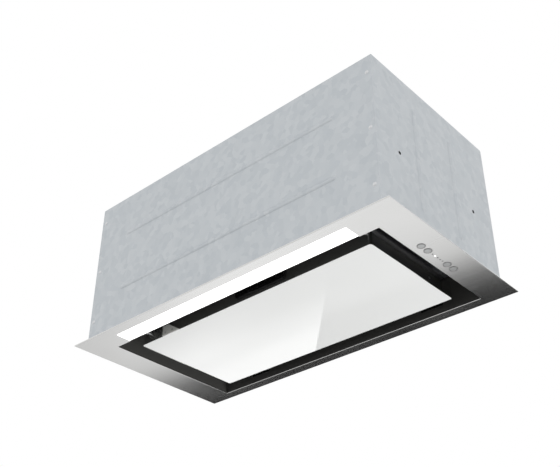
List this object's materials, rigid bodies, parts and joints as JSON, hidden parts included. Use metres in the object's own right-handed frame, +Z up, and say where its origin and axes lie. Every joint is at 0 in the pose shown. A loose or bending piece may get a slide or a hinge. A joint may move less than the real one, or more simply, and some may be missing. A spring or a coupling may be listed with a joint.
{
  "type": "built-in range hood",
  "caption": "Built-in range hood for a wall cabinet: steel fascia with light bar and buttons, white perimeter suction panel, filters, blower and round duct outlet.",
  "frame": {"origin": "centre of the fascia, on the plane of its hem that meets the underside of the cabinet", "axes": "+Z up into the cabinet, -Y towards the user, +X to the user's right"},
  "size_m": [0.598, 0.305, 0.2985],
  "materials": {
    "stainless": "stainless steel, fine brushed",
    "galvanised": "hot dip galvanised sheet, matt spangle",
    "zinc_plated": "bright zinc plated steel",
    "black_moulding": "black moulded plastic, fine grain",
    "bright_steel": "bright rolled stainless steel, nearly a mirror",
    "dark_coat": "dark grey powder coat, fine orange peel",
    "black_enamel": "black gloss enamel on sheet steel",
    "white_glass": "white back painted tempered glass, polished edge",
    "opal_lamp": "opal diffuser, lit from inside",
    "aluminium": "mill finish aluminium",
    "filter_mesh": "expanded aluminium mesh",
    "grey_moulding": "dark grey moulded plastic, self extinguishing",
    "impeller_plastic": "moulded plastic, dark blue",
    "copper": "enamelled copper wire",
    "lamination": "electrical steel laminations",
    "rubber": "soft rubber bush",
    "circuit_board": "green solder mask",
    "pale_moulding": "pale grey moulded plastic",
    "button_metal": "satin metallised cap",
    "indicator_dark": "clear light pipe, unlit",
    "indicator_lit": "clear light pipe, lit white"
  },
  "bodies": {
    "housing": {"fascia": "stainless", "fascia_nuts": "zinc_plated", "recess_frame": "dark_coat", "housing_wrap": "galvanised", "side_plate_left": "galvanised", "side_plate_right": "galvanised", "housing_rivets": "aluminium", "lamp_diffuser": "opal_lamp", "lamp_tray": "aluminium", "led_board": "pale_moulding", "lamp_lead_cover": "black_moulding", "catch_left": "black_moulding", "catch_right": "black_moulding", "tray_guide": "pale_moulding", "hinge_bracket_left": "black_enamel", "hinge_bracket_right": "black_enamel", "hinge_pins": "zinc_plated", "recess_screws": "zinc_plated", "filter_frame_left": "aluminium", "filter_frame_right": "aluminium", "filter_mesh_left": "filter_mesh", "filter_mesh_right": "filter_mesh", "scroll_left": "grey_moulding", "scroll_right": "grey_moulding", "scroll_screws": "zinc_plated", "motor_core": "lamination", "motor_windings": "copper", "motor_cap_inner": "galvanised", "motor_cap_outer": "galvanised", "motor_bracket": "galvanised", "motor_bushes": "rubber", "motor_screws": "zinc_plated", "outlet_collar": "black_moulding", "collar_screws": "zinc_plated", "control_box": "pale_moulding", "control_box_lid": "pale_moulding", "power_board": "circuit_board", "capacitor": "pale_moulding", "terminal_block": "pale_moulding", "cable_gland": "black_moulding", "control_carrier": "black_moulding", "control_board": "circuit_board", "indicator_pipes": "indicator_dark", "indicator_lit": "indicator_lit"},
    "panel": {"panel_glass": "white_glass", "panel_tray": "bright_steel", "catch_studs": "zinc_plated", "hinge_leaf_left": "black_enamel", "hinge_leaf_right": "black_enamel"},
    "rotor": {"impeller": "impeller_plastic", "impeller_nut": "zinc_plated", "rotor_shaft": "zinc_plated"},
    "flap_front": {"flap_front": "black_moulding"},
    "flap_rear": {"flap_rear": "black_moulding"},
    "filter_latch_left": {"filter_latch_left": "black_moulding"},
    "filter_latch_right": {"filter_latch_right": "black_moulding"},
    "button_light": {"button_light": "button_metal"},
    "button_slower": {"button_slower": "button_metal"},
    "button_faster": {"button_faster": "button_metal"},
    "button_timer": {"button_timer": "button_metal"}
  },
  "joints": [
    {"name": "panel_swing", "type": "hinge", "parent": "housing", "child": "panel", "pos_m": [0, 0.1155, 0.014], "axis": [1, 0, 0], "range_deg": [0, 90]},
    {"name": "rotor_spin", "type": "hinge", "parent": "housing", "child": "rotor", "pos_m": [0, -0.03, 0.1658], "axis": [1, 0, 0], "continuous": true},
    {"name": "flap_rear_swing", "type": "hinge", "parent": "housing", "child": "flap_rear", "pos_m": [0, 0.04275, 0.2612], "axis": [1, 0, 0], "range_deg": [0, 78]},
    {"name": "flap_front_swing", "type": "hinge", "parent": "housing", "child": "flap_front", "pos_m": [0, 0.03275, 0.2612], "axis": [-1, 0, 0], "range_deg": [0, 78]},
    {"name": "filter_latch_left_slide", "type": "slide", "parent": "housing", "child": "filter_latch_left", "axis": [0, 1, 0], "range_m": [0, 0.005], "stiffness_N_per_m": 400, "springref_m": -0.001},
    {"name": "filter_latch_right_slide", "type": "slide", "parent": "housing", "child": "filter_latch_right", "axis": [0, 1, 0], "range_m": [0, 0.005], "stiffness_N_per_m": 400, "springref_m": -0.001},
    {"name": "button_light_press", "type": "slide", "parent": "housing", "child": "button_light", "axis": [0, 0, 1], "range_m": [0, 0.0012], "stiffness_N_per_m": 700, "springref_m": -0.0004},
    {"name": "button_slower_press", "type": "slide", "parent": "housing", "child": "button_slower", "axis": [0, 0, 1], "range_m": [0, 0.0012], "stiffness_N_per_m": 700, "springref_m": -0.0004},
    {"name": "button_faster_press", "type": "slide", "parent": "housing", "child": "button_faster", "axis": [0, 0, 1], "range_m": [0, 0.0012], "stiffness_N_per_m": 700, "springref_m": -0.0004},
    {"name": "button_timer_press", "type": "slide", "parent": "housing", "child": "button_timer", "axis": [0, 0, 1], "range_m": [0, 0.0012], "stiffness_N_per_m": 700, "springref_m": -0.0004}
  ]
}
